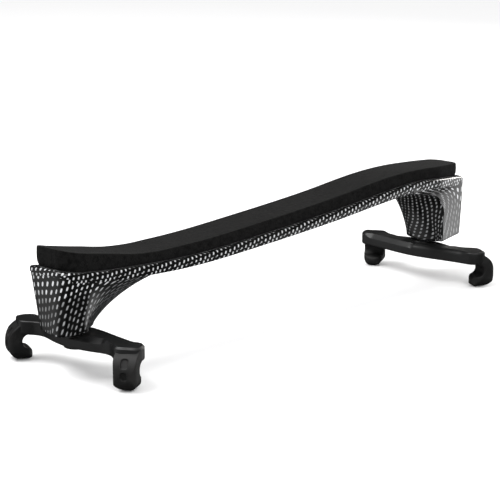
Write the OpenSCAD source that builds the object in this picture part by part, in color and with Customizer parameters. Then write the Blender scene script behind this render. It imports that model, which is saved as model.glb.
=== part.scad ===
// Violin shoulder rest: an S-curved moulded bridge with a foam pad on top and
// two screw-in feet whose rubber-booted claws grip the edges of a violin's back.
// +X runs along the bridge, +Y across it, +Z up. It stands on its claws at z = 0.

/* [Bridge] */
// Overall length of the bridge
bridge_length = 233; // [231:1:236]
// Width of the bridge across its rim
bridge_width = 21; // [20:0.5:22]
// Thickness of the bar between the legs
bar_thickness = 4; // [3.6:0.1:4.6]
// Height of the legs' undersides above the floor
leg_bottom = 16.6; // [16.4:0.1:17.4]

/* [Pad] */
// Width of the foam pad
pad_width = 18; // [16:0.5:19]
// Thickness of the foam pad
pad_thickness = 4.9; // [4:0.1:8]
// Thickness of the adhesive film under the pad
film_thickness = 0.2; // [0.15:0.05:0.5]

/* [Feet] */
// Distance between the two foot screws
foot_spacing = 197.5; // [197:0.5:198.5]
// Distance between a foot's two claws, measured at their lowest points
claw_spacing = 56; // [54:1:60]
// How far each claw is turned in to meet the violin's edge, in degrees
claw_splay = 27; // [20:1:32]
// Height of the arm's top face above the floor
arm_top = 15.3; // [15:0.1:15.4]
// Thickness of the arm
arm_thickness = 5.2; // [5:0.1:5.4]
// Width of a rubber boot
boot_width = 8.8; // [8.4:0.1:9.6]

/* [Screws] */
// Diameter of the foot screws
screw_d = 5; // [4.8:0.1:5.2]
// Radial clearance between a screw and its insert
thread_clearance = 0.03; // [0.02:0.01:0.08]
// Outside diameter of the brass inserts
insert_d = 7; // [6.6:0.1:7.2]
// Length of the brass inserts
insert_length = 14; // [10:0.5:15]
// Distance between the two width positions in each leg
insert_pitch = 8.5; // [8:0.1:8.6]

/* [Hidden] */

// The bridge reaches further past its right foot than past its left one
feet_offset = -3.5;
left_screw_x = feet_offset - foot_spacing / 2;
right_screw_x = feet_offset + foot_spacing / 2;
fine = 64;

function mix(a, b, t) = a + (b - a) * t;
function clamp01(t) = max(0, min(1, t));

// ---------------------------------------------------------------- curves
// Smooth curve through [place, value] stations
function slope(p, i) =
  let (a = p[max(i - 1, 0)], b = p[min(i + 1, len(p) - 1)])
  (b[1] - a[1]) / (b[0] - a[0]);
function hermite(p, i, x) =
  let (
    span = p[i + 1][0] - p[i][0],
    t = (x - p[i][0]) / span
  )
  (2 * t * t * t - 3 * t * t + 1) * p[i][1] + (t * t * t - 2 * t * t + t) * slope(p, i) * span
  + (3 * t * t - 2 * t * t * t) * p[i + 1][1] + (t * t * t - t * t) * slope(p, i + 1) * span;
function curve(p, x, i = 0) =
  i >= len(p) - 2 || x <= p[i + 1][0] ? hermite(p, i, x) : curve(p, x, i + 1);

function arc(center, r, from, to, n = 12) =
  [for (i = [0 : n]) let (a = mix(from, to, i / n)) center + r * [cos(a), sin(a)]];

// Outline with each [x, y, cut] corner rounded off over a length of cut
function toward(p, q, d) = p + (q - p) * d / norm(q - p);
function soft_corner(p, a, b, cut, n) =
  let (s = toward(p, a, cut), e = toward(p, b, cut))
  [for (i = [0 : n]) let (t = i / n) s * (1 - t) * (1 - t) + p * 2 * t * (1 - t) + e * t * t];
function soft_outline(c, n = 6) =
  [for (i = [0 : len(c) - 1]) each soft_corner(
    [c[i].x, c[i].y],
    [c[(i + len(c) - 1) % len(c)].x, c[(i + len(c) - 1) % len(c)].y],
    [c[(i + 1) % len(c)].x, c[(i + 1) % len(c)].y],
    c[i].z, n
  )];

// ---------------------------------------------------------------- solids
// A slab along X: rows are [x, near edge, far edge, height], and layers, from the
// bottom up, are [height above the row's own, inset from the row's edges]. The ends are
// inset over inset_run. A row without a height follows the bridge's top face. A fifth
// value in a row is how much thicker the slab is there.
inset_run = 8;
module slab(rows, layers) {
  last = len(rows) - 1;
  top = len(layers) - 1;
  wide = max([for (r = rows) r[2] - r[1]]) / 2;
  points = [
    for (layer = layers, side = [-1, 1], r = rows)
      let (
        half = (r[2] - r[1]) / 2 * (wide - layer[1]) / wide,
        from_start = clamp01(1 - (r[0] - rows[0][0]) / inset_run),
        from_end = clamp01(1 - (rows[last][0] - r[0]) / inset_run),
        x = r[0] + layer[1] * (from_start - from_end)
      )
      [x, (r[1] + r[2]) / 2 + side * half, (is_undef(r[3]) ? top_z(x) : r[3]) + layer[0]
        + (is_undef(r[4]) ? 0 : r[4] * (layer[0] - layers[0][0]) / (layers[top][0] - layers[0][0]))]
  ];
  function at(k, side, i) = (k * 2 + side) * (last + 1) + i;
  function quad(a, b, c, d) = [[a, b, c], [a, c, d]];
  faces = concat(
    [for (i = [0 : last - 1]) each quad(at(0, 0, i), at(0, 0, i + 1), at(0, 1, i + 1), at(0, 1, i))],
    [for (i = [0 : last - 1]) each quad(
      at(top, 0, i), at(top, 1, i), at(top, 1, i + 1), at(top, 0, i + 1))],
    [for (k = [0 : top - 1], i = [0 : last - 1]) each concat(
      quad(at(k, 0, i), at(k + 1, 0, i), at(k + 1, 0, i + 1), at(k, 0, i + 1)),
      quad(at(k, 1, i), at(k, 1, i + 1), at(k + 1, 1, i + 1), at(k + 1, 1, i))
    )],
    [for (k = [0 : top - 1]) each concat(
      quad(at(k, 0, 0), at(k, 1, 0), at(k + 1, 1, 0), at(k + 1, 0, 0)),
      quad(at(k, 0, last), at(k + 1, 0, last), at(k + 1, 1, last), at(k, 1, last))
    )]
  );
  polyhedron(points, faces, convexity = 6);
}

// A solid through a stack of rings, from the bottom up, that all have the same count
module stack(rings) {
  n = len(rings[0]);
  top = len(rings) - 1;
  function middle(ring) = [for (a = [0 : 2]) [for (p = ring) p[a]] * [for (p = ring) 1] / n];
  points = concat([for (ring = rings) each ring], [middle(rings[0]), middle(rings[top])]);
  base = n * (top + 1);
  faces = concat(
    [for (k = [0 : top - 1], i = [0 : n - 1])
      let (j = (i + 1) % n, a = k * n, b = a + n) each [
        [a + i, b + i, b + j], [a + i, b + j, a + j]
      ]],
    [for (i = [0 : n - 1]) [base, i, (i + 1) % n]],
    [for (i = [0 : n - 1]) [base + 1, top * n + (i + 1) % n, top * n + i]]
  );
  polyhedron(points, faces, convexity = 6);
}

// ---------------------------------------------------------------- bridge
// Height of the bridge's top face along its length
top_line = [
  [-119.5, 40.9], [-105.5, 38.3], [-85.5, 36.6], [-51.5, 35.5], [-11.5, 37.3],
  [26.5, 39.9], [56.5, 42.7], [78.5, 44.2], [96.5, 43.3], [116.5, 41.2]
];
function top_z(x) = curve(top_line, x);

// Plan outline of a strip w wide that ends at left and right. Its corners are round,
// and beyond nose_start its near edge turns across the bridge.
nose_start = 94.5;
nose_turn = 0.2;
end_steps = 5;
// Strips share their stations, so that stacked ones meet face to face, and the stations
// are closer together towards the ends
station = 4;
left_end_zone = -101;
right_end_zone = 100;
function corner_in(d, r) = d >= r ? 0 : r - sqrt(r * r - (r - d) * (r - d));
function strip_row(x, left, right, w, r) =
  let (cut = corner_in(min(x - left, right - x), r))
  [x, -w / 2 + max(0, x - nose_start) * nose_turn + cut, w / 2 - cut];
function strip_rows(left, right, w, r) = concat(
  [for (i = [0 : end_steps - 1]) strip_row(left + r * (1.01 - cos(90 * i / end_steps)), left, right, w, r)],
  [for (x = [ceil(left + r + 1) : floor(right - r - 1)])
    if (x % station == 0 || x < left_end_zone || x > right_end_zone) strip_row(x, left, right, w, r)],
  [for (i = [end_steps - 1 : -1 : 0])
    strip_row(right - r * (1.01 - cos(90 * i / end_steps)), left, right, w, r)]
);

bridge_left = -bridge_length / 2;
bridge_right = bridge_length / 2;
rim_height = 2.2;

// A leg is lofted from an outline at its underside to one inside the bar. Both are
// lists of [x, y, corner, sweep], where a sweep of 1 follows the web to the right, -1
// to the left, and tight to the left too, but upright until it is close under the bar.
web_top = 0.93;
tight = 2;
tight_from = 0.41;
tight_to = 0.86;
function web_sweep(t) =
  let (s = clamp01((t - 0.02) / (web_top - 0.02)))
  0.3 * s + 0.7 * (1 - sqrt(1 - s * s));
function tight_sweep(t) =
  let (s = clamp01((t - tight_from) / (tight_to - tight_from)))
  1 - pow(1 - pow(s, 2.5), 0.4);
function sweep(kind, t) = kind == tight ? -tight_sweep(t) : kind * web_sweep(t);
module leg(low, high, reach, levels = 14) {
  stack([
    for (k = [-1 : levels])
      let (
        t = pow(max(k, 0) / levels, 0.8),
        edge = k < 0 ? 0.8 : 0,
        outline = soft_outline([
          for (i = [0 : len(low) - 1])
            [
              mix(low[i][0], high[i][0], t) + reach * sweep(low[i][3], t),
              mix(low[i][1], high[i][1], t),
              mix(low[i][2], high[i][2], t)
            ]
        ]),
        middle = [(low[0][0] + low[2][0]) / 2, 0]
      )
      [for (p = outline)
        let (q = k < 0 ? toward(p, middle, edge) : p)
        [q.x, q.y, mix(leg_bottom + (k < 0 ? 0 : 0.8), top_z(q.x) - 1, t)]]
  ]);
}

left_low = [
  [-95, -1.5, 2, 1], [-95, 9, 4, 1], [-113, 9.2, 5, 0], [-117, -7.5, 4.5, 0], [-105.5, -8.6, 2, 0]
];
left_high = [
  [-97.5, -10.2, 1, 1], [-97.5, 10.2, 2, 1], [-116, 10.2, 4, 0], [-116.2, -10.2, 4, 0], [-104.5, -10.2, 2, 0]
];
right_low = [
  [94.1, -11.2, 0.6, tight], [114.5, -6, 4, 0], [115, 8.5, 5, 0], [94.5, 9.4, 3, -1], [89.3, -1.2, 8, -1]
];
right_high = [
  [96.5, -10.4, 0.6, tight], [115.9, -6.6, 4, 0], [115.9, 10.2, 4, 0], [96.5, 10.2, 1, -1], [96.5, 0, 3, -1]
];

screw_hole_top = 36.2;
module bridge() {
  color("black") difference() {
    union() {
      slab(strip_rows(bridge_left, bridge_right, bridge_width, 4.5), [
        [-bar_thickness, 1.3], [-bar_thickness + 0.7, 0.45], [-rim_height, 0.4],
        [-rim_height + 0.4, 0.1], [-0.9, 0], [-0.35, 0.25], [0, 0.9]
      ]);
      leg(left_low, left_high, 38);
      leg(right_low, right_high, 22);
    }
    for (x = [left_screw_x, right_screw_x], spare = [0, 1]) {
      hole_x = x + spare * sign(x) * insert_pitch;
      translate([hole_x, 0, leg_bottom - 1]) cylinder(d = insert_d, h = insert_length + 1.3, $fn = fine);
      translate([hole_x, 0, leg_bottom]) cylinder(d = screw_d + 0.6, h = screw_hole_top - leg_bottom, $fn = fine);
    }
  }
}

// The film lies a hair clear of the bridge, so that their curved faces don't cut in
glue_line = 0.02;
module pad_adhesive() {
  color("dimgray") slab(strip_rows(bridge_left + 2.4, bridge_right - 4.1, pad_width - 1.4, 5),
    [[glue_line, 0], [film_thickness, 0]]);
}

// How much thicker than pad_thickness the pad is along its length
pad_extra = [
  [-114, 2.3], [-104, 1.75], [-93, 0.85], [-81, -0.5], [-70, -0.8], [-58, -0.4],
  [-20, 0], [25, 0.35], [58, 0.7], [83, 0], [113, 0.8]
];
module foam_pad() {
  color("black") slab(
    [for (r = strip_rows(bridge_left + 1.7, bridge_right - 3.4, pad_width, 5))
      [r[0], r[1], r[2], undef, curve(pad_extra, r[0])]],
    [[film_thickness, 0.5], [film_thickness + 1.2, 0], [film_thickness + pad_thickness - 0.4, 0],
     [film_thickness + pad_thickness, 0.4]]);
}

module insert(x) {
  color("goldenrod") translate([x, 0, leg_bottom + 0.3]) difference() {
    cylinder(d = insert_d, h = insert_length, $fn = fine);
    translate([0, 0, -1]) cylinder(r = screw_d / 2 + thread_clearance, h = insert_length + 2, $fn = fine);
  }
}
module left_inner_insert() { insert(left_screw_x); }
module left_outer_insert() { insert(left_screw_x - insert_pitch); }
module right_inner_insert() { insert(right_screw_x); }
module right_outer_insert() { insert(right_screw_x + insert_pitch); }

// ---------------------------------------------------------------- feet
// A foot's own frame: its screw's axis at the origin, X away from the bridge's middle
hub_r = 4.8;
hub_bottom = arm_top - arm_thickness - 0.5;
head_d = 7.6;
head_height = 2.4;
screw_top = 34.6;
claw_low_x = 1.25;
seat = 6.1;

module place_foot(side) {
  translate([side < 0 ? left_screw_x : right_screw_x, 0, 0]) rotate([0, 0, side < 0 ? 180 : 0]) children();
}
// A claw's own frame: X points in from the claw's outermost line, Y across, Z up
module place_claw(end) {
  translate([claw_low_x, end * claw_spacing / 2, 0]) rotate([0, 0, 180 + end * claw_splay])
    translate([-seat, 0, 0]) children();
}

module foot_screw() {
  color("silver") {
    translate([0, 0, hub_bottom + 0.4]) difference() {
      cylinder(d = head_d, h = head_height, $fn = fine);
      translate([0, 0, -1]) cylinder(d = 4, h = 2.5, $fn = 6);
    }
    translate([0, 0, hub_bottom + 0.4 + head_height - 0.01])
      cylinder(d = screw_d, h = screw_top - hub_bottom - 0.4 - head_height, $fn = fine);
  }
}
module left_foot_screw() { place_foot(-1) foot_screw(); }
module right_foot_screw() { place_foot(1) foot_screw(); }

// The claw's profile in its X-Z plane
outer_top_r = 8.5;
outer_low_r = 5.8;
mouth = 9.3;
ring_x = 7.6;
ring_z = 7.3;
ring_in = 3.4;
ring_out = 5.8;
boot_top = 14;
prong_width = 5;
function boot_outline() = concat(
  [[mouth, 10.1], [mouth, boot_top], [4.9, boot_top]],
  arc([outer_top_r, 6], outer_top_r, 116, 180),
  arc([outer_low_r, outer_low_r], outer_low_r, 182, 270),
  arc([mouth - 2.3, 2.3], 2.3, 270, 450),
  arc([ring_x, 7.2], 2.6, 270, 90)
);
module upright(w) { rotate([90, 0, 0]) translate([0, 0, -w / 2]) linear_extrude(w) children(); }
module prong_profile() {
  difference() {
    translate([ring_x, ring_z]) circle(r = ring_out, $fn = fine);
    translate([ring_x, ring_z]) circle(r = ring_in, $fn = fine);
    translate([ring_x, -20]) square(40);
  }
  translate([ring_x - 0.01, ring_z + ring_in]) square([4, ring_out - ring_in]);
  translate([ring_x - 0.01, ring_z - ring_out]) square([0.8, ring_out - ring_in]);
}
// The boot as seen along the claw: straight sides and a round lower end
module boot_front(w) {
  r = w / 2;
  translate([-1, 0, 0]) rotate([90, 0, 90]) linear_extrude(mouth + 3) {
    translate([0, r]) circle(r = r, $fn = fine);
    translate([-r, r]) square([w, boot_top]);
  }
}
lip_top = 7;
module boot_plan(h, corner) {
  linear_extrude(h) polygon(soft_outline([
    [-0.2, -boot_width / 2, 3], [mouth, -boot_width / 2, corner],
    [mouth, boot_width / 2, corner], [-0.2, boot_width / 2, 3]
  ]));
}
module boot() {
  color("#1b1b1b") difference() {
    intersection() {
      upright(boot_width + 1) polygon(boot_outline());
      boot_front(boot_width);
      union() {
        boot_plan(lip_top + 0.5, 4.3);
        translate([0, 0, lip_top]) boot_plan(boot_top - lip_top, 2.6);
      }
    }
    upright(prong_width) prong_profile();
  }
}
module left_near_boot() { place_foot(-1) place_claw(1) boot(); }
module left_far_boot() { place_foot(-1) place_claw(-1) boot(); }
module right_near_boot() { place_foot(1) place_claw(-1) boot(); }
module right_far_boot() { place_foot(1) place_claw(1) boot(); }

// How far the arm's outer and inner sides stand from the screw's axis at v along the arm
arm_half = 23;
arm_steps = 15;
function outer_side(v) = 4.85 - 4.4 * pow(abs(v) / 20, 1.5);
function inner_side(v) = -8.55 + 2.4 * pow(abs(v) / 21, 1.5);

// The arm's tip: a shoulder that spreads to the claw, and a plate over the boot
module arm_tip(end) {
  bottom = arm_top - arm_thickness;
  shoulder = [[-5.9, 18], [0.6, 17], [2.6, 20.5], [5.6, 24.6], [0.2, 27], [-5.3, 25]];
  difference() {
    union() {
      mirror([0, end < 0 ? 1 : 0, 0]) translate([0, 0, bottom])
        linear_extrude(arm_thickness - 0.3) polygon(shoulder);
      place_claw(end) translate([mouth - 0.6, -boot_width / 2, bottom]) cube([1.9, boot_width, arm_thickness]);
    }
    place_claw(end) upright(boot_width + 0.02) polygon(boot_outline());
  }
  place_claw(end) {
    upright(prong_width) prong_profile();
    translate([0, 0, boot_top]) linear_extrude(arm_top - boot_top) polygon(soft_outline([
      [4.4, -boot_width / 2, 2], [mouth + 1.3, -boot_width / 2, 1.2],
      [mouth + 1.3, boot_width / 2 + 2, 1], [4.4, boot_width / 2 + 0.5, 1]
    ]));
  }
}
module foot_arm() {
  color("#202020") difference() {
    union() {
      rotate([0, 0, 90]) slab(
        [for (i = [-arm_steps : arm_steps]) let (v = arm_half * i / arm_steps)
          [v, -outer_side(v), -inner_side(v), arm_top]],
        [[-arm_thickness, 0.8], [-arm_thickness + 0.7, 0.1], [-1.7, 0], [0, 1.6]]
      );
      translate([0, 0, hub_bottom]) cylinder(r = hub_r, h = arm_thickness, $fn = fine);
      translate([0, 0, arm_top - 1]) cylinder(r = 4.2, h = 1.4, $fn = fine);
      for (end = [-1, 1]) arm_tip(end);
    }
    translate([0, 0, hub_bottom - 1]) cylinder(d = head_d + 0.1, h = head_height + 1.5, $fn = fine);
    translate([0, 0, hub_bottom]) cylinder(d = screw_d + 0.1, h = 12, $fn = fine);
  }
}
module left_foot_arm() { place_foot(-1) foot_arm(); }
module right_foot_arm() { place_foot(1) foot_arm(); }

bridge();
pad_adhesive();
foam_pad();
left_inner_insert();
left_outer_insert();
right_inner_insert();
right_outer_insert();
left_foot_screw();
right_foot_screw();
left_foot_arm();
right_foot_arm();
left_near_boot();
left_far_boot();
right_near_boot();
right_far_boot();
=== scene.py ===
"""Violin shoulder rest: the looks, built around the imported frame.

Shapes are worked out in millimetres, in the frame's own axes, and become metres as each mesh is made.
"""

import math

import bmesh
import bpy
from mathutils import Matrix, Vector, noise


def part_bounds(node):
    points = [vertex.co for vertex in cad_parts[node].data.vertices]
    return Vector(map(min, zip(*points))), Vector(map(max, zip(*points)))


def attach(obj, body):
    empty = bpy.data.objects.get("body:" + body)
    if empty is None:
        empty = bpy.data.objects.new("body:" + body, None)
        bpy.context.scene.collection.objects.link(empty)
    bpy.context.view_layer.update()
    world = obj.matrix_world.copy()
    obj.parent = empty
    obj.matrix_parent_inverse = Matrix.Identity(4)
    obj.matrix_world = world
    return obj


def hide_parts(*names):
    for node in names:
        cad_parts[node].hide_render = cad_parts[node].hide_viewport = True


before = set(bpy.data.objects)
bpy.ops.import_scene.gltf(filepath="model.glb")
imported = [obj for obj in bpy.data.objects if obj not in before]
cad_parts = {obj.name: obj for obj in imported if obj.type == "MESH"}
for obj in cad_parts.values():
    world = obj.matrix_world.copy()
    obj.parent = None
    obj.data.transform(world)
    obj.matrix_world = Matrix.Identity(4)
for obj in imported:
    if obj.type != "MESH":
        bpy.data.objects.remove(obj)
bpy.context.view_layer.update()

MM = 0.001
TAU = 2 * math.pi


def part_box(node):
    """A CAD node's corners in millimetres."""
    low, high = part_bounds(node)
    return low / MM, high / MM


# ---------------------------------------------------------------- sizes shared with the CAD
BRIDGE_LOW, BRIDGE_HIGH = part_box("bridge")
LEFT, RIGHT = BRIDGE_LOW.x, BRIDGE_HIGH.x
BRIDGE_WIDTH = 21
BAR = 4
LEG_BOTTOM = BRIDGE_LOW.z
PAD_WIDTH = 18
FILM = 0.2
PAD_THICKNESS = 4.9
SCREW_X = {-1: -102.25, 1: 95.25}
PITCH_BETWEEN_BORES = 8.5
NOSE_START, NOSE_TURN = 94.5, 0.2
TOP_LINE = [
    (-119.5, 40.9), (-105.5, 38.3), (-85.5, 36.6), (-51.5, 35.5), (-11.5, 37.3),
    (26.5, 39.9), (56.5, 42.7), (78.5, 44.2), (96.5, 43.3), (116.5, 41.2),
]
# How much thicker than PAD_THICKNESS the pad is along its length
PAD_EXTRA = [
    (-114, 2.3), (-104, 1.75), (-93, 0.85), (-81, -0.5), (-70, -0.8), (-58, -0.4),
    (-20, 0), (25, 0.35), (58, 0.7), (83, 0), (113, 0.8),
]
ARM_TOP, ARM_THICKNESS = 15.3, 5.2
HUB_BOTTOM = ARM_TOP - ARM_THICKNESS - 0.5
SCREW_TOP = 34.6
CLAW_X, CLAW_Y, CLAW_SPLAY, CLAW_SEAT = 1.25, 28, 27, 6.1
BOOT_WIDTH, BOOT_TOP, LIP_TOP, MOUTH = 8.8, 14, 7, 9.3
RING_X, RING_Z, RING_IN, RING_OUT, PRONG_WIDTH = 7.6, 7.3, 3.4, 5.8, 5


# ---------------------------------------------------------------- small maths
def mix(a, b, t):
    return a + (b - a) * t


def clamp01(t):
    return max(0.0, min(1.0, t))


def smooth(t):
    t = clamp01(t)
    return t * t * (3 - 2 * t)


def stations(points, x):
    """Smooth curve through (place, value) stations, as in the CAD."""
    last = len(points) - 1
    i = 0
    while i < last - 1 and x > points[i + 1][0]:
        i += 1

    def slope(k):
        a, b = points[max(k - 1, 0)], points[min(k + 1, last)]
        return (b[1] - a[1]) / (b[0] - a[0])

    span = points[i + 1][0] - points[i][0]
    t = (x - points[i][0]) / span
    return ((2 * t**3 - 3 * t**2 + 1) * points[i][1] + (t**3 - 2 * t**2 + t) * slope(i) * span
            + (3 * t**2 - 2 * t**3) * points[i + 1][1] + (t**3 - t**2) * slope(i + 1) * span)


def top_z(x):
    return stations(TOP_LINE, x)


def arc(cx, cz, r, start, end, n=12):
    return [(cx + r * math.cos(math.radians(mix(start, end, i / n))),
             cz + r * math.sin(math.radians(mix(start, end, i / n)))) for i in range(n + 1)]


# ---------------------------------------------------------------- mesh helpers
def make_mesh(name, verts, faces, uvs=None, sharp_over=35):
    """A smooth-shaded object from millimetre points. uvs, one list per face, are in millimetres."""
    mesh = bpy.data.meshes.new(name)
    mesh.from_pydata([Vector(v) * MM for v in verts], [], faces)
    if uvs:
        layer = mesh.uv_layers.new(name="dip")
        for poly, corners in zip(mesh.polygons, uvs):
            for loop, uv in zip(poly.loop_indices, corners):
                layer.data[loop].uv = uv
    obj = bpy.data.objects.new(name, mesh)
    bpy.context.scene.collection.objects.link(obj)
    tidy_mesh(obj, sharp_over)
    return obj


def tidy_mesh(obj, sharp_over=35, merge=0.002):
    """Joins doubled points, points every face outwards, and keeps edges crisp over an angle."""
    bm = bmesh.new()
    bm.from_mesh(obj.data)
    bmesh.ops.remove_doubles(bm, verts=bm.verts, dist=merge * MM)
    bmesh.ops.recalc_face_normals(bm, faces=bm.faces)
    for face in bm.faces:
        face.smooth = True
    for edge in bm.edges:
        edge.smooth = len(edge.link_faces) != 2 or edge.calc_face_angle() < math.radians(sharp_over)
    bm.to_mesh(obj.data)
    bm.free()


def apply_modifier(obj, kind, **values):
    modifier = obj.modifiers.new(kind.lower(), kind)
    for key, value in values.items():
        setattr(modifier, key, value)
    graph = bpy.context.evaluated_depsgraph_get()
    result = bpy.data.meshes.new_from_object(obj.evaluated_get(graph), preserve_all_data_layers=True,
                                             depsgraph=graph)
    old = obj.data
    obj.modifiers.clear()
    obj.data = result
    bpy.data.meshes.remove(old)


def boolean(obj, others, operation):
    for other in others:
        apply_modifier(obj, "BOOLEAN", object=other, operation=operation, solver="EXACT")
        bpy.data.objects.remove(other)


def stack(name, rings, uv_rings=None, cap_low="fan", cap_high="fan", closed=False, sharp_over=35):
    """A solid through rings of equal count. Caps are 'fan' or 'flat'; closed joins last to first."""
    n = len(rings[0])
    verts = [p for ring in rings for p in ring]
    faces, uvs = [], []

    def uv_of(k, i, wrap):
        u, v = uv_rings[k][i % n]
        return (u + (uv_rings[k][n][0] if wrap else 0), v)

    levels = len(rings) if closed else len(rings) - 1
    for k in range(levels):
        up = (k + 1) % len(rings)
        for i in range(n):
            j = (i + 1) % n
            faces.append((k * n + i, k * n + j, up * n + j, up * n + i))
            if uv_rings:
                wrap = j == 0
                uvs.append([uv_of(k, i, 0), uv_of(k, j, wrap), uv_of(up, j, wrap), uv_of(up, i, 0)])
    if not closed:
        for k, cap in ((0, cap_low), (len(rings) - 1, cap_high)):
            loop = [k * n + i for i in range(n)]
            flat = [(rings[k][i][0], rings[k][i][1]) for i in range(n)]
            if cap == "flat":
                faces.append(tuple(loop))
                uvs.append(flat)
                continue
            middle = sum((Vector(p) for p in rings[k]), Vector((0, 0, 0))) / n
            verts.append(middle)
            for i in range(n):
                j = (i + 1) % n
                faces.append((loop[i], loop[j], len(verts) - 1))
                uvs.append([flat[i], flat[j], (middle.x, middle.y)])
    return make_mesh(name, verts, faces, uvs if uv_rings else None, sharp_over)


INSET_RUN = 8


def lattice(name, rows, layers, across, lift=None, sharp_over=35):
    """A long slab along the top line. rows are (x, near, far, z); layers, from the bottom up, are
    (height, inset), and the ends take their inset over INSET_RUN. lift(x, y, layer) may shift a
    point's height a little."""
    start, end = rows[0][0], rows[-1][0]
    wide = max(r[2] - r[1] for r in rows) / 2
    near_run, far_run = [0.0], [0.0]
    for a, b in zip(rows, rows[1:]):
        rise = b[3] - a[3]
        near_run.append(near_run[-1] + math.hypot(b[0] - a[0], b[1] - a[1], rise))
        far_run.append(far_run[-1] + math.hypot(b[0] - a[0], b[2] - a[2], rise))
    down = [0.0]
    for a, b in zip(layers[::-1], layers[-2::-1]):
        down.append(down[-1] - math.hypot(b[0] - a[0], b[1] - a[1]))
    down.reverse()
    last_row, last_layer = len(rows) - 1, len(layers) - 1
    verts, faces, uvs, index = [], [], [], {}

    def vert(k, j, i):
        if (k, j, i) not in index:
            x, near, far, _ = rows[i]
            height, inset = layers[k]
            half = (far - near) / 2 * (wide - inset) / wide
            px = x + inset * (clamp01(1 - (x - start) / INSET_RUN) - clamp01(1 - (end - x) / INSET_RUN))
            py = (near + far) / 2 + mix(-half, half, j / across)
            pz = top_z(px) + height
            if lift:
                pz += lift(px, py, k)
            index[k, j, i] = len(verts)
            verts.append((px, py, pz))
        return index[k, j, i]

    def quad(keys, uv):
        faces.append(tuple(vert(*key) for key in keys))
        uvs.append([uv(*key) for key in keys])

    def plane_uv(k, j, i):
        return rows[i][0] - rows[0][0], mix(rows[i][1], rows[i][2], j / across)

    def side_uv(k, j, i):
        end = rows[i][2] - rows[i][1]
        if j == 0:
            return near_run[i], down[k]
        return -(rows[0][2] - rows[0][1]) - far_run[i] if j == across else end * j / across, down[k]

    def left_uv(k, j, i):
        return -(rows[0][2] - rows[0][1]) * j / across, down[k]

    def right_uv(k, j, i):
        return near_run[-1] + (rows[-1][2] - rows[-1][1]) * j / across, down[k]

    for i in range(last_row):
        for j in range(across):
            for k in (0, last_layer):
                quad([(k, j, i), (k, j, i + 1), (k, j + 1, i + 1), (k, j + 1, i)], plane_uv)
        for k in range(last_layer):
            for j in (0, across):
                quad([(k, j, i), (k, j, i + 1), (k + 1, j, i + 1), (k + 1, j, i)], side_uv)
    for k in range(last_layer):
        for j in range(across):
            for i, uv in ((0, left_uv), (last_row, right_uv)):
                quad([(k, j, i), (k, j + 1, i), (k + 1, j + 1, i), (k + 1, j, i)], uv)
    return make_mesh(name, verts, faces, uvs, sharp_over)


def strip_rows(left, right, width, corner, body_steps, corner_steps=10):
    """Plan of a strip with round corners whose near edge turns across beyond the nose."""
    xs = [left + corner * (1.01 - math.cos(math.radians(90 * i / corner_steps)))
          for i in range(corner_steps)]
    xs += [mix(left + corner, right - corner, i / body_steps) for i in range(body_steps + 1)]
    xs += [right + left - x for x in reversed(xs[:corner_steps])]
    rows = []
    for x in xs:
        d = min(x - left, right - x)
        cut = 0 if d >= corner else corner - math.sqrt(corner**2 - (corner - d) ** 2)
        near = -width / 2 + max(0, x - NOSE_START) * NOSE_TURN + cut
        rows.append((x, near, width / 2 - cut, top_z(x)))
    return rows


def soft_ring(corners, steps=10, straight=10):
    """Outline through (x, y, cut) corners, each rounded off over its cut."""
    ring = []
    n = len(corners)
    for i in range(n):
        a, p, b = (Vector(corners[(i + k) % n][:2]) for k in (-1, 0, 1))
        cut, next_cut = corners[i][2], corners[(i + 1) % n][2]
        s = p + (a - p).normalized() * cut
        e = p + (b - p).normalized() * cut
        f = b + (p - b).normalized() * next_cut
        ring += [s * (1 - t) ** 2 + p * 2 * t * (1 - t) + e * t * t
                 for t in (k / steps for k in range(steps + 1))]
        ring += [e.lerp(f, k / straight) for k in range(1, straight)]
    return ring


def drum(name, x, y, low, high, r, sides=64):
    rings = [[(x + r * math.cos(TAU * i / sides), y + r * math.sin(TAU * i / sides), z)
              for i in range(sides)] for z in (low, high)]
    return stack(name, rings, cap_low="flat", cap_high="flat")


# ---------------------------------------------------------------- bridge
WEB_TOP = 0.93
LEFT_REACH, RIGHT_REACH = 38, 22
LEVELS = 40
FOOT_EDGE = 0.8
TIGHT, TIGHT_FROM, TIGHT_TO = 2, 0.41, 0.86

# Corners of each leg at its underside and inside the bar: x, y, corner and sweep, then how densely the
# printed weave lies there. A sweep of 1 follows the web right, -1 left, and TIGHT left but only close
# under the bar. The first corner is where the print's seam runs.
LEFT_LEG = [
    ((-95, 9, 4, 1), (-97.5, 10.2, 2, 1), 0.9),
    ((-113, 9.2, 5, 0), (-116, 10.2, 4, 0), 0.7),
    ((-117, -7.5, 4.5, 0), (-116.2, -10.2, 4, 0), 0.66),
    ((-105.5, -8.6, 2, 0), (-104.5, -10.2, 2, 0), 1.05),
    ((-95, -1.5, 2, 1), (-97.5, -10.2, 1, 1), 1.0),
]
RIGHT_LEG = [
    ((94.5, 9.4, 3, -1), (96.5, 10.2, 1, -1), 1.3),
    ((89.3, -1.2, 8, -1), (96.5, 0, 3, -1), 1.3),
    ((94.1, -11.2, 0.6, TIGHT), (96.5, -10.4, 0.6, TIGHT), 1.2),
    ((114.5, -6, 4, 0), (115.9, -6.6, 4, 0), 0.55),
    ((115, 8.5, 5, 0), (115.9, 10.2, 4, 0), 0.7),
]


def sweep(kind, t):
    if kind == TIGHT:
        s = clamp01((t - TIGHT_FROM) / (TIGHT_TO - TIGHT_FROM))
        return (1 - s**2.5) ** 0.4 - 1
    s = clamp01((t - 0.02) / (WEB_TOP - 0.02))
    return kind * (0.3 * s + 0.7 * (1 - math.sqrt(1 - s * s)))


def leg_outline(corners, t, reach):
    return soft_ring([
        (mix(low[0], high[0], t) + reach * sweep(low[3], t), mix(low[1], high[1], t),
         mix(low[2], high[2], t)) for low, high, _ in corners
    ])


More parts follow.
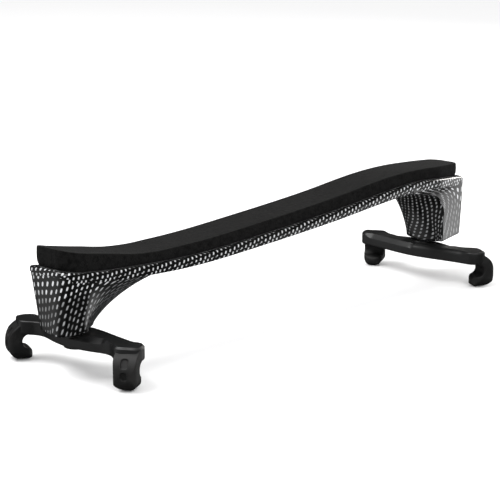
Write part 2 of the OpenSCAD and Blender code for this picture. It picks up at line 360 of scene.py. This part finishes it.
def leg(name, corners, reach):
    lows = [c[0] for c in corners]
    middle = Vector((sum(c[0] for c in lows) / len(lows), 0))
    base = leg_outline(corners, 0, reach)
    rings = []
    for j in range(6):
        turn = math.radians(90 * j / 6)
        inset = FOOT_EDGE * (1 - math.sin(turn))
        height = LEG_BOTTOM + FOOT_EDGE * (1 - math.cos(turn))
        rings.append([(*(p + (middle - p).normalized() * inset), height) for p in base])
    for k in range(LEVELS + 1):
        t = (k / LEVELS) ** 0.8
        rings.append([(p.x, p.y, mix(LEG_BOTTOM + FOOT_EDGE, top_z(p.x) - 1, t))
                      for p in leg_outline(corners, t, reach)])
    return stack(name, rings, leg_print(rings, corners), cap_low="flat")


def leg_print(rings, corners):
    """Print coordinates: along the outline, and down from the bar, closer together where it is dense."""
    n = len(rings[0])
    guide = rings[len(rings) // 2]
    along = [0.0]
    for i in range(n):
        along.append(along[-1] + (Vector(guide[(i + 1) % n]) - Vector(guide[i])).length)
    per_corner = n // len(corners)
    density = []
    for i in range(n + 1):
        c, f = divmod(i, per_corner)
        a, b = corners[c % len(corners)][2], corners[(c + 1) % len(corners)][2]
        density.append(mix(a, b, smooth(f / per_corner)))
    out = []
    drop = [[0.0] * n for _ in rings]
    for k in range(len(rings) - 2, -1, -1):
        for i in range(n):
            drop[k][i] = drop[k + 1][i] - (Vector(rings[k][i]) - Vector(rings[k + 1][i])).length
    for k in range(len(rings)):
        row = [(along[i], drop[k][i] * density[i]) for i in range(n)]
        out.append(row + [(along[n], 0)])
    return out


BAR_LAYERS = [
    (-BAR, 1.3), (-3.88, 1.0), (-3.65, 0.7), (-3.3, 0.5), (-2.9, 0.43), (-2.34, 0.42), (-2.26, 0.14),
    (-2.16, 0.05), (-1.9, 0.0), (-1.4, 0.0), (-0.95, 0.0), (-0.62, 0.06), (-0.35, 0.22), (-0.12, 0.48),
    (0, 0.9),
]


def build_bridge():
    rows = strip_rows(LEFT, RIGHT, BRIDGE_WIDTH, 4.5, 200)
    bridge = lattice("moulded_bridge", rows, BAR_LAYERS, 6)
    boolean(bridge, [leg("leg_l", LEFT_LEG, LEFT_REACH), leg("leg_r", RIGHT_LEG, RIGHT_REACH)], "UNION")
    cutters = []
    for side, x in SCREW_X.items():
        for bore in (x, x + side * PITCH_BETWEEN_BORES):
            cutters.append(drum("bore", bore, 0, LEG_BOTTOM - 1, LEG_BOTTOM + 14.3, 3.5))
            cutters.append(drum("clear", bore, 0, LEG_BOTTOM + 14, 36.2, 2.8))
    boolean(bridge, cutters, "DIFFERENCE")
    tidy_mesh(bridge, 33)
    return bridge


# ---------------------------------------------------------------- foam pad
PAD_LAYERS = [
    (FILM, 0.9), (FILM + 0.15, 0.62), (FILM + 0.5, 0.36), (FILM + 1.1, 0.12), (FILM + 1.9, 0.0),
    (FILM + 3.1, -0.02), (FILM + 4.3, 0.03), (FILM + 4.62, 0.1), (FILM + 4.8, 0.24), (FILM + 4.88, 0.42),
    (FILM + PAD_THICKNESS, 0.7),
]


def pad_shape(x, y, layer):
    """The pad is thicker towards its ends, and cut, not moulded: its top wanders by a few hundredths."""
    extra = stations(PAD_EXTRA, x) * (PAD_LAYERS[layer][0] - FILM) / PAD_THICKNESS
    if layer < len(PAD_LAYERS) - 2:
        return extra
    return extra + 0.05 * noise.noise(Vector((x * 0.12, y * 0.2, 3.1))) - 0.03


def build_pad():
    rows = strip_rows(LEFT + 1.7, RIGHT - 3.4, PAD_WIDTH, 5, 150)
    return lattice("foam_top", rows, PAD_LAYERS, 12, pad_shape)


# ---------------------------------------------------------------- feet
def foot_matrix(side):
    """Places a foot built round its screw. The left foot is the right one turned half round."""
    turn = math.pi if side < 0 else 0
    return Matrix.Translation((SCREW_X[side] * MM, 0, 0)) @ Matrix.Rotation(turn, 4, "Z")


def claw_matrix(end):
    """Places a boot at the near (-1) or far (1) end of an arm."""
    return (Matrix.Translation((CLAW_X * MM, end * CLAW_Y * MM, 0))
            @ Matrix.Rotation(math.radians(180 + end * CLAW_SPLAY), 4, "Z")
            @ Matrix.Translation((-CLAW_SEAT * MM, 0, 0)))


def prism(name, outline, half, sharp_over=35):
    """An X-Z outline carried across Y."""
    rings = [[(x, y, z) for x, z in outline] for y in (-half, half)]
    return stack(name, rings, cap_low="flat", cap_high="flat", sharp_over=sharp_over)


def boot_outline(n=24):
    return ([(MOUTH, 10.1), (MOUTH, BOOT_TOP), (4.9, BOOT_TOP)]
            + arc(8.5, 6, 8.5, 116, 180, n) + arc(5.8, 5.8, 5.8, 182, 270, n)
            + arc(MOUTH - 2.3, 2.3, 2.3, 270, 450, n) + arc(RING_X, 7.2, 2.6, 270, 90, n))


def prong_outline(n=32):
    ring = arc(RING_X, RING_Z, RING_OUT, 90, 270, n) + [(RING_X + 0.8, RING_Z - RING_OUT)]
    ring += [(RING_X + 0.8, RING_Z - RING_IN)] + arc(RING_X, RING_Z, RING_IN, 270, 90, n)
    return ring + [(RING_X + 4, RING_Z + RING_IN), (RING_X + 4, RING_Z + RING_OUT)]


def recess(name, width, height, place, tilt):
    """A round-ended block that presses a recess into a boot's outer face."""
    sides, squareness = 40, 0.6

    def full(value):
        return math.copysign(abs(value) ** squareness, value)

    ring = []
    for i in range(sides):
        a = TAU * i / sides
        ring.append((full(math.cos(a)) * width / 2, full(math.sin(a)) * height / 2))
    rings = [[(x, y, z) for y, z in ring] for x in (-3, 0.75)]
    obj = stack(name, rings, cap_low="flat", cap_high="flat")
    obj.data.transform(Matrix.Translation(Vector(place) * MM) @ Matrix.Rotation(math.radians(tilt), 4, "Y"))
    return obj


BOOT_VOXEL = 0.17


def build_boot():
    boot = prism("boot", boot_outline(), BOOT_WIDTH / 2 + 1)
    r = BOOT_WIDTH / 2
    front = [(y, z) for y, z in arc(0, r, r, 180, 360, 48)] + [(r, BOOT_TOP + 1), (-r, BOOT_TOP + 1)]
    shell = stack("front", [[(x, y, z) for y, z in front] for x in (-1, MOUTH + 1)],
                  cap_low="flat", cap_high="flat")
    rings = []
    for z, corner in ((-1, 4.3), (LIP_TOP - 0.6, 4.3), (LIP_TOP + 0.6, 2.6), (BOOT_TOP + 1, 2.6)):
        plan = soft_ring([(-0.2, -r, 3), (MOUTH, -r, corner), (MOUTH, r, corner), (-0.2, r, 3)])
        rings.append([(p.x, p.y, z) for p in plan])
    column = stack("plan", rings, cap_low="flat", cap_high="flat")
    boolean(boot, [shell, column], "INTERSECT")
    recesses = [recess("oval", 2.7, 3.6, (1.15, 0, 10.4), 31), recess("slot", 2.4, 2.9, (0.1, 0, 5.9), -2)]
    boolean(boot, recesses, "DIFFERENCE")
    apply_modifier(boot, "REMESH", mode="VOXEL", voxel_size=BOOT_VOXEL * MM)
    apply_modifier(boot, "SMOOTH", factor=0.5, iterations=7)
    boolean(boot, [prism("prong", prong_outline(), PRONG_WIDTH / 2)], "DIFFERENCE")
    tidy_mesh(boot, 45, 0.0005)
    return boot


# The arm's outline over its crisp half, from the hub's outer side round the claw to its inner side
ARM_SIDE = [
    (4.85, 0), (4.5, 4), (3.45, 9.5), (2.15, 14), (1.7, 17), (2.3, 20), (3.7, 22.4), (4.75, 24.6),
    (4.5, 26.6), (2.9, 29.3), (1.3, 31.7), (-0.7, 32.1), (-3.2, 31.1), (-4.9, 29.2), (-5.45, 26.5),
    (-5.75, 23), (-6.35, 18.5), (-7.1, 13.5), (-7.95, 8), (-8.45, 3),
]


def closed_curve(points, per_span=8):
    out = []
    n = len(points)
    for i in range(n):
        p0, p1, p2, p3 = (Vector(points[(i + k) % n]) for k in (-1, 0, 1, 2))
        for k in range(per_span):
            t = k / per_span
            out.append(0.5 * (2 * p1 + (p2 - p0) * t + (2 * p0 - 5 * p1 + 4 * p2 - p3) * t**2
                              + (3 * p1 - p0 - 3 * p2 + p3) * t**3))
    return out


def arm_outline():
    other = [(u, -v) for u, v in reversed(ARM_SIDE) if v > 0]
    return closed_curve(ARM_SIDE + [(-8.55, 0)] + other)


def arm_rings():
    outline = arm_outline()
    n = len(outline)
    inward = []
    for i in range(n):
        along = (outline[(i + 1) % n] - outline[i - 1]).normalized()
        inward.append(Vector((-along.y, along.x)))
    rings = []
    steps = 7
    for k in range(2 * steps + 2):
        low = k <= steps
        t = (k if low else k - steps - 1) / steps
        ring = []
        for p, side in zip(outline, inward):
            crisp = smooth((p.y + 1.5) / 3)
            near_claw = smooth((abs(p.y) - 14.5) / 2.2) if p.x > 0 else smooth((abs(p.y) - 24) / 4)
            wide = mix(mix(2.3, 1.7, crisp), 0.6, near_claw) if not low else 0.8
            deep = mix(mix(2.4, 1.8, crisp), 0.7, near_claw) if not low else 0.8
            if low:
                inset = wide * (1 - math.sin(t * math.pi / 2))
                drop = ARM_THICKNESS - deep * (1 - math.cos(t * math.pi / 2))
            else:
                flat = 0.1 + 0.8 * t
                inset = wide * mix(1 - math.cos(t * math.pi / 2), flat if t > 0 else 0, crisp)
                drop = deep * mix(1 - math.sin(t * math.pi / 2), 1 - flat if t > 0 else 1, crisp)
                if t == 1:
                    inset, drop = wide, 0
            q = p + side * inset
            ring.append((q.x, q.y, ARM_TOP - drop))
        rings.append(ring)
    return rings


def build_arm():
    arm = stack("arm", arm_rings(), cap_low="flat", cap_high="flat", sharp_over=28)
    hub = [(HUB_BOTTOM, 4.45), (HUB_BOTTOM + 0.12, 4.68), (HUB_BOTTOM + 0.35, 4.8), (ARM_TOP - 1, 4.8)]
    boss = [(ARM_TOP - 1, 4.3), (ARM_TOP + 0.2, 4.2), (ARM_TOP + 0.34, 4.1), (ARM_TOP + 0.4, 3.9)]
    sides = 64
    for rows in (hub, boss):
        rings = [[(r * math.cos(TAU * i / sides), r * math.sin(TAU * i / sides), z) for i in range(sides)]
                 for z, r in rows]
        boolean(arm, [stack("hub", rings, cap_low="flat", cap_high="flat")], "UNION")
    for end in (-1, 1):
        pocket = prism("pocket", boot_outline(), BOOT_WIDTH / 2 + 0.02)
        prong = prism("prong", prong_outline(), PRONG_WIDTH / 2 - 0.02)
        for obj in (pocket, prong):
            obj.data.transform(claw_matrix(end))
        boolean(arm, [pocket], "DIFFERENCE")
        boolean(arm, [prong], "UNION")
    boolean(arm, [drum("head", 0, 0, HUB_BOTTOM - 1, HUB_BOTTOM + 2.9, 3.85),
                  drum("stud", 0, 0, HUB_BOTTOM, ARM_TOP + 2, 2.55)], "DIFFERENCE")
    tidy_mesh(arm, 28)
    return arm


def turned(name, rows, segments=48, closed=False, sharp_over=35):
    """A turned part: rows are (z, r), where r may be a function of the angle."""
    rings = []
    for z, r in rows:
        ring = []
        for i in range(segments):
            a = TAU * i / segments
            radius = r(a) if callable(r) else r
            ring.append((radius * math.cos(a), radius * math.sin(a), z))
        rings.append(ring)
    return stack(name, rings, closed=closed, sharp_over=sharp_over)


def thread(z, crest, depth, pitch=0.8):
    def radius(a):
        f = (z / pitch - a / TAU) % 1
        return crest - depth * clamp01(abs(2 * f - 1) * 1.35 - 0.2)
    return radius


def hexagon(across):
    return lambda a: across / 2 / math.cos((a + math.pi / 6) % (math.pi / 3) - math.pi / 6)


def build_screw():
    head = HUB_BOTTOM + 0.4
    rows = [(head + 1.5, hexagon(3.4)), (head + 0.2, hexagon(3.5)), (head, hexagon(3.9)), (head, 3.4),
            (head + 0.1, 3.65), (head + 0.28, 3.8), (head + 2.1, 3.8), (head + 2.3, 3.7), (head + 2.4, 3.5),
            (head + 2.4, 2.5), (head + 2.9, 2.5)]
    steps = 8
    first, last = head + 3.0, SCREW_TOP - 0.6
    count = int((last - first) * steps)
    for i in range(count + 1):
        z = mix(first, last, i / count)
        fade = min(1, (z - first) / 0.6, (last - z) / 0.5 + 0.2)
        rows.append((z, thread(z, 2.5, 0.42 * clamp01(fade))))
    rows += [(SCREW_TOP - 0.3, 2.1), (SCREW_TOP, 1.8)]
    return turned("foot_screw", rows, sharp_over=50)


def build_insert():
    low, high = LEG_BOTTOM + 0.3, LEG_BOTTOM + 14.3
    rows = [(low, 3.0), (low, 3.35), (low + 0.15, 3.49), (high - 0.1, 3.49), (high, 3.4), (high, 2.95)]
    steps = 8
    count = int((high - low - 0.6) * steps)
    for i in range(count, -1, -1):
        z = low + 0.3 + i / steps
        rows.append((z, thread(z, 2.9, 0.35)))
    return turned("insert", rows, closed=True, sharp_over=50)


# ---------------------------------------------------------------- materials
class Shader:
    """A node material with short calls for the nodes it needs."""

    def __init__(self, name, **values):
        self.material = bpy.data.materials.new(name)
        self.material.use_nodes = True
        self.tree = self.material.node_tree
        self.bsdf = self.tree.nodes["Principled BSDF"]
        for key, value in values.items():
            self.bsdf.inputs[key.replace("_", " ")].default_value = value

    def node(self, kind, inputs=(), **settings):
        node = self.tree.nodes.new(kind)
        for key, value in settings.items():
            setattr(node, key, value)
        for key, value in dict(inputs).items():
            self.put(node.inputs[key], value)
        return node

    def put(self, socket, value):
        if isinstance(value, bpy.types.NodeSocket):
            self.tree.links.new(value, socket)
        else:
            socket.default_value = value

    def math(self, operation, *values):
        node = self.node("ShaderNodeMath", operation=operation)
        for socket, value in zip(node.inputs, values):
            self.put(socket, value)
        return node.outputs[0]

    def place(self):
        return self.node("ShaderNodeTexCoord").outputs["Object"]

    def noise(self, scale, detail=2, roughness=0.5, where=None):
        return self.node("ShaderNodeTexNoise", {"Vector": where or self.place(), "Scale": scale,
                                                "Detail": detail, "Roughness": roughness}).outputs["Fac"]

    def ramp(self, value, low, high, out_low, out_high):
        node = self.node("ShaderNodeMapRange", {"Value": value, "From Min": low, "From Max": high,
                                                "To Min": out_low, "To Max": out_high})
        node.interpolation_type = "SMOOTHSTEP"
        return node.outputs["Result"]

    def blend(self, amount, a, b):
        node = self.node("ShaderNodeMix", data_type="RGBA")
        self.put(node.inputs["Factor"], amount)
        self.put(node.inputs[6], a)
        self.put(node.inputs[7], b)
        return node.outputs[2]

    def set(self, name, value):
        self.put(self.bsdf.inputs[name], value)

    def bump(self, height, distance, strength=1.0, on_coat=False):
        node = self.node("ShaderNodeBump", {"Height": height, "Distance": distance, "Strength": strength})
        self.set("Normal", node.outputs["Normal"])
        if on_coat:
            self.set("Coat Normal", node.outputs["Normal"])


def grey(v, warm=0.0):
    return (v * (1 + warm), v, v * (1 - warm), 1)


DASH_ALONG, DASH_DOWN = 2.3, 1.95
DASH_RISE, DASH_SHIFT, DASH_LEAN = 0.16, 0.22, 19


def dip_print():
    """Glossy lacquer over a printed weave: silver dashes on black, in slanting rows, dimmed with painted
    shade down the legs so that the rim's dashes stand brighter, as if catching the light.
    """
    s = Shader("carbon_print", Roughness=0.3, Specular_IOR_Level=0.2, Coat_Weight=1.0, Coat_Roughness=0.04,
               Coat_IOR=1.5)
    uv = s.node("ShaderNodeUVMap", uv_map="dip").outputs["UV"]
    wander = s.node("ShaderNodeTexNoise", {"Vector": uv, "Scale": 0.11, "Detail": 1})
    uv = s.node("ShaderNodeVectorMath", {0: wander.outputs["Color"], 1: (1.6, 1.2, 0), 2: uv},
                operation="MULTIPLY_ADD").outputs[0]
    split = s.node("ShaderNodeSeparateXYZ", {"Vector": uv})
    u, v = split.outputs["X"], split.outputs["Y"]
    r = s.math("DIVIDE", s.math("SUBTRACT", v, s.math("MULTIPLY", u, DASH_RISE)), DASH_DOWN)
    row = s.math("FLOOR", r)
    c = s.math("ADD", s.math("DIVIDE", u, DASH_ALONG), s.math("MULTIPLY", row, -DASH_SHIFT))
    col = s.math("FLOOR", c)
    x = s.math("MULTIPLY", s.math("SUBTRACT", s.math("SUBTRACT", c, col), 0.5), DASH_ALONG)
    y = s.math("MULTIPLY", s.math("SUBTRACT", s.math("SUBTRACT", r, row), 0.5), DASH_DOWN)
    lean = math.radians(DASH_LEAN)
    along = s.math("ADD", s.math("MULTIPLY", x, math.sin(lean)), s.math("MULTIPLY", y, math.cos(lean)))
    across = s.math("SUBTRACT", s.math("MULTIPLY", x, math.cos(lean)), s.math("MULTIPLY", y, math.sin(lean)))

    def dash(half_wide, half_long):
        a = s.math("POWER", s.math("ABSOLUTE", s.math("DIVIDE", across, half_wide)), 3.0)
        b = s.math("POWER", s.math("ABSOLUTE", s.math("DIVIDE", along, half_long)), 3.0)
        return s.ramp(s.math("ADD", a, b), 0.55, 1.45, 1.0, 0.0)

    cell = s.node("ShaderNodeCombineXYZ", {"X": col, "Y": row}).outputs[0]
    lot = s.node("ShaderNodeTexWhiteNoise", {"Vector": cell}, noise_dimensions="2D").outputs["Value"]
    silver = s.math("MULTIPLY", dash(0.37, 0.56), s.ramp(lot, 0, 1, 0.6, 1.0))
    # painted shade: dashes fade to 0.3 where the print's second coordinate falls below -4 mm (down the legs,
    # and on the near part of the bar's top and underside), so the rim stays bright as if lit
    silver = s.math("MULTIPLY", silver, s.ramp(v, -7.5, -4.0, 0.3, 1.0))
    fibres = s.node("ShaderNodeTexNoise", {
        "Vector": s.node("ShaderNodeCombineXYZ", {"X": s.math("MULTIPLY", across, 9), "Y": along,
                                                  "Z": s.math("MULTIPLY", lot, 40)}).outputs[0],
        "Scale": 1.0, "Detail": 2}).outputs["Fac"]
    silver = s.math("MULTIPLY", silver, s.ramp(fibres, 0.2, 0.6, 0.72, 1.0))
    weft = s.math("MULTIPLY", s.ramp(s.math("ABSOLUTE", y), 1.0, 1.3, 0.0, 1.0), 0.004)
    halo = s.math("MULTIPLY", dash(0.7, 0.85), 0.005)
    ground = s.math("ADD", weft, halo)
    base = s.blend(s.math("MINIMUM", s.math("ADD", silver, ground), 1.0), grey(0.0012), grey(0.9, -0.02))
    s.set("Base Color", base)
    s.set("Metallic", s.math("MULTIPLY", silver, 0.55))
    s.bump(s.math("ADD", s.math("MULTIPLY", s.noise(45, 2), 0.7), s.math("MULTIPLY", silver, 0.04)),
           0.0004, 0.25, on_coat=True)
    return s.material


def foam():
    """Fine closed-cell sponge: matt black with a light grain, and pin-prick cells darkened at their centres
    with painted shade.
    """
    s = Shader("black_sponge", Roughness=0.96, Specular_IOR_Level=0.12, Sheen_Weight=0.02,
               Sheen_Roughness=0.5)
    cells = s.node("ShaderNodeTexVoronoi", {"Vector": s.place(), "Scale": 1500.0}).outputs["Distance"]
    coarse = s.noise(620, 3, 0.6)
    fine = s.noise(2400, 2, 0.7)
    mottled = s.noise(60, 3, 0.6)
    grain = s.math("ADD", s.math("MULTIPLY", coarse, 0.6), s.math("MULTIPLY", fine, 0.4))
    tone = s.math("MULTIPLY", s.ramp(grain, 0.40, 0.62, 0.15, 1.7), s.ramp(mottled, 0.3, 0.7, 0.85, 1.15))
    # painted shade: the base colour darkens towards the middle of each foam cell
    pore_shade = s.ramp(cells, 0.1, 0.4, 0.45, 1.0)
    s.set("Base Color", s.blend(s.math("MULTIPLY", tone, pore_shade), grey(0.0004), grey(0.0036, 0.02)))
    s.bump(s.math("ADD", grain, s.math("MULTIPLY", cells, 0.8)), 0.00022, 0.7)
    return s.material


def nylon():
    """Injection-moulded black nylon with a fine spark texture, a little lighter and glossier along its sharp
    edges.
    """
    s = Shader("black_nylon", Specular_IOR_Level=0.5)
    spark = s.noise(1700, 2, 0.6)
    flow = s.noise(90, 3, 0.55)
    edge = s.node("ShaderNodeNewGeometry").outputs["Pointiness"]
    sharp_edge_mask = s.ramp(edge, 0.51, 0.56, 0.0, 1.0)
    # lighter base colour and lower roughness along sharply convex edges
    tone = s.math("ADD", s.ramp(flow, 0.3, 0.7, 0.2, 0.5), s.math("MULTIPLY", sharp_edge_mask, 0.35))
    s.set("Base Color", s.blend(tone, grey(0.0035), grey(0.010, -0.03)))
    s.set("Roughness", s.math("SUBTRACT", s.ramp(flow, 0.3, 0.7, 0.4, 0.5), s.math("MULTIPLY", sharp_edge_mask, 0.1)))
    s.bump(s.math("ADD", spark, s.math("MULTIPLY", s.noise(250, 2), 0.5)), 0.00006, 0.5)
    return s.material


def rubber():
    """Soft moulded rubber: dull black, faintly bloomed, with a fine drag texture."""
    s = Shader("black_rubber", Specular_IOR_Level=0.4)
    bloom = s.noise(160, 4, 0.6)
    skin = s.noise(1300, 3, 0.6)
    s.set("Base Color", s.blend(s.ramp(bloom, 0.35, 0.7, 0.0, 1.0), grey(0.0045), grey(0.009, 0.03)))
    s.set("Roughness", s.ramp(bloom, 0.3, 0.7, 0.52, 0.64))
    s.bump(s.math("ADD", skin, s.math("MULTIPLY", bloom, 0.6)), 0.00008, 0.5)
    return s.material


def metal(name, colour, roughness, scale):
    """Turned metal: fine rings round the screw's axis, with a little tarnish."""
    s = Shader(name, Metallic=1.0)
    split = s.node("ShaderNodeSeparateXYZ", {"Vector": s.place()})
    rings = s.node("ShaderNodeTexNoise", {"W": s.math("MULTIPLY", split.outputs["Z"], scale), "Scale": 1.0,
                                          "Detail": 2}, noise_dimensions="1D").outputs["Fac"]
    tarnish = s.noise(420, 3)
    dull = tuple(0.6 * c for c in colour[:3]) + (1,)
    s.set("Base Color", s.blend(s.ramp(tarnish, 0.4, 0.75, 0.0, 1.0), colour, dull))
    s.set("Roughness", s.math("ADD", s.ramp(rings, 0.3, 0.7, roughness - 0.06, roughness + 0.08),
                              s.ramp(tarnish, 0.4, 0.75, 0.0, 0.1)))
    s.bump(rings, 0.00004, 0.4)
    return s.material


def tape():
    s = Shader("adhesive_film", Roughness=0.5)
    s.set("Base Color", s.blend(s.ramp(s.noise(500, 3), 0.3, 0.7, 0, 1), grey(0.02), grey(0.05)))
    s.bump(s.noise(900, 2), 0.00003, 0.4)
    return s.material


def paint(obj, material):
    obj.data.materials.clear()
    obj.data.materials.append(material)


# ---------------------------------------------------------------- stage
def build_camera():
    """The viewing angle: low, from the left of the front, with a long lens."""
    azimuth, elevation, distance = math.radians(-46.88), math.radians(13.0), 0.75579
    target = Vector((0.0168, 0.02788, 0.0200))
    camera = bpy.data.cameras.new("camera")
    camera.lens, camera.sensor_width = 133.7, 36
    camera.clip_start, camera.clip_end = 0.01, 50
    obj = bpy.data.objects.new("camera", camera)
    back = Vector((math.sin(azimuth) * math.cos(elevation), -math.cos(azimuth) * math.cos(elevation),
                   math.sin(elevation)))
    obj.location = target + back * distance
    obj.rotation_euler = back.to_track_quat("Z", "Y").to_euler()
    bpy.context.scene.collection.objects.link(obj)
    bpy.context.scene.camera = obj


def soft_light(name, place, size, watts, tint=(1, 1, 1), aim=(0, 0, 0.03)):
    lamp = bpy.data.lights.new(name, "AREA")
    lamp.shape, lamp.size, lamp.size_y = "RECTANGLE", size[0], size[1]
    lamp.energy, lamp.color = watts, tint
    obj = bpy.data.objects.new(name, lamp)
    obj.location = place
    obj.rotation_euler = (Vector(place) - Vector(aim)).to_track_quat("Z", "Y").to_euler()
    bpy.context.scene.collection.objects.link(obj)


def build_stage():
    bm = bmesh.new()
    bmesh.ops.create_grid(bm, x_segments=8, y_segments=8, size=4)
    mesh = bpy.data.meshes.new("floor")
    bm.to_mesh(mesh)
    bm.free()
    floor = bpy.data.objects.new("floor", mesh)
    bpy.context.scene.collection.objects.link(floor)
    s = Shader("pale_floor", Roughness=0.9, Specular_IOR_Level=0.1)
    s.set("Base Color", s.blend(s.noise(3, 2), (0.86, 0.86, 0.865, 1), (0.88, 0.88, 0.88, 1)))
    paint(floor, s.material)
    floor.visible_glossy = False

    world = bpy.context.scene.world or bpy.data.worlds.new("world")
    bpy.context.scene.world = world
    world.use_nodes = True
    tree = world.node_tree
    tree.nodes.clear()
    new, link = tree.nodes.new, tree.links.new
    path, place, split = new("ShaderNodeLightPath"), new("ShaderNodeTexCoord"), new("ShaderNodeSeparateXYZ")
    link(place.outputs["Generated"], split.inputs[0])

    def math_node(operation, *values):
        node = new("ShaderNodeMath")
        node.operation = operation
        for socket, value in zip(node.inputs, values):
            if isinstance(value, bpy.types.NodeSocket):
                link(value, socket)
            else:
                socket.default_value = value
        return node.outputs[0]

    def lobe(direction, low, high):
        """1 towards a direction, 0 away from it."""
        d = Vector(direction).normalized()
        dot = math_node("ADD", math_node("ADD", math_node("MULTIPLY", split.outputs[0], d.x),
                                         math_node("MULTIPLY", split.outputs[1], d.y)),
                        math_node("MULTIPLY", split.outputs[2], d.z))
        node = new("ShaderNodeMapRange")
        node.interpolation_type = "SMOOTHSTEP"
        link(dot, node.inputs["Value"])
        node.inputs["From Min"].default_value, node.inputs["From Max"].default_value = low, high
        return node.outputs["Result"]

    studio = STUDIO_BASE
    for direction, low, high, power in STUDIO_LOBES:
        studio = math_node("ADD", studio, math_node("MULTIPLY", lobe(direction, low, high), power))
    studio = math_node("MAXIMUM", studio, 0.0)
    strength = new("ShaderNodeMix")
    strength.data_type = "FLOAT"
    link(math_node("MAXIMUM", path.outputs["Is Camera Ray"], path.outputs["Is Diffuse Ray"]),
         strength.inputs["Factor"])
    link(studio, strength.inputs[2])
    strength.inputs[3].default_value = 1.0
    background, output = new("ShaderNodeBackground"), new("ShaderNodeOutputWorld")
    background.inputs["Color"].default_value = (1, 1, 1, 1)
    link(strength.outputs[0], background.inputs["Strength"])
    link(background.outputs[0], output.inputs["Surface"])

    soft_light("key", (-0.5, 0.35, 0.9), (0.7, 0.5), 9)
    soft_light("front_strip", (-0.25, -0.75, 0.55), (0.9, 0.12), 5)
    soft_light("right_fill", (0.9, 0.1, 0.35), (0.4, 0.4), 3, (1, 0.97, 0.94))
    bpy.context.scene.view_settings.view_transform = "Standard"


# The studio as glossy surfaces see it: a dim surround, and lobes given as a direction, where the
# edge starts and ends, and brightness
STUDIO_BASE = 0.02
STUDIO_LOBES = [
    ((0.93, -0.3, -0.2), 0.9, 0.99, 1.1),
    ((-0.7, -0.65, -0.2), 0.7, 0.97, 0.09),
    ((-0.75, 0.6, -0.1), 0.6, 0.97, 0.35),
    ((0.0, 0.1, 1.0), 0.6, 0.97, 0.3),
]


# ---------------------------------------------------------------- assembly
def add(piece, material, body, slot, *nodes):
    paint(piece, material)
    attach(piece, body)
    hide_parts(*nodes)
    return piece


def copy_of(source, name, matrix):
    piece = bpy.data.objects.new(name, source.data.copy())
    piece.data.transform(matrix)
    bpy.context.scene.collection.objects.link(piece)
    return piece


def assemble():
    carbon, sponge, arm_look, boot_look = dip_print(), foam(), nylon(), rubber()
    steel = metal("turned_steel", (0.5, 0.5, 0.51, 1), 0.28, 9000)
    brass = metal("turned_brass", (0.78, 0.56, 0.24, 1), 0.3, 9000)
    add(build_bridge(), carbon, "bridge", "bridge_plastic", "bridge")
    pad = add(build_pad(), sponge, "bridge", "foam", "foam_pad")
    paint(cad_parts["pad_adhesive"], tape())

    arm, boot, screw, insert = build_arm(), build_boot(), build_screw(), build_insert()
    for side, word in ((-1, "left"), (1, "right")):
        foot = foot_matrix(side)
        add(copy_of(arm, word + "_arm", foot), arm_look, word + "_foot", "arm_nylon", word + "_foot_arm")
        for end in (-1, 1):
            where = "near" if end * side < 0 else "far"
            add(copy_of(boot, f"{word}_{where}_claw_boot", foot @ claw_matrix(end)), boot_look,
                word + "_foot", "boot_rubber", f"{word}_{where}_boot")
        add(copy_of(screw, word + "_stud", foot), steel, word + "_screw", "steel", word + "_foot_screw")
        for k, name in enumerate(("inner", "outer")):
            shift = Matrix.Translation(((SCREW_X[side] + k * side * PITCH_BETWEEN_BORES) * MM, 0, 0))
            add(copy_of(insert, f"{word}_{name}_bush", shift), brass, "bridge", "brass",
                f"{word}_{name}_insert")
    for source in (arm, boot, screw, insert):
        bpy.data.objects.remove(source)


build_camera()
build_stage()
assemble()
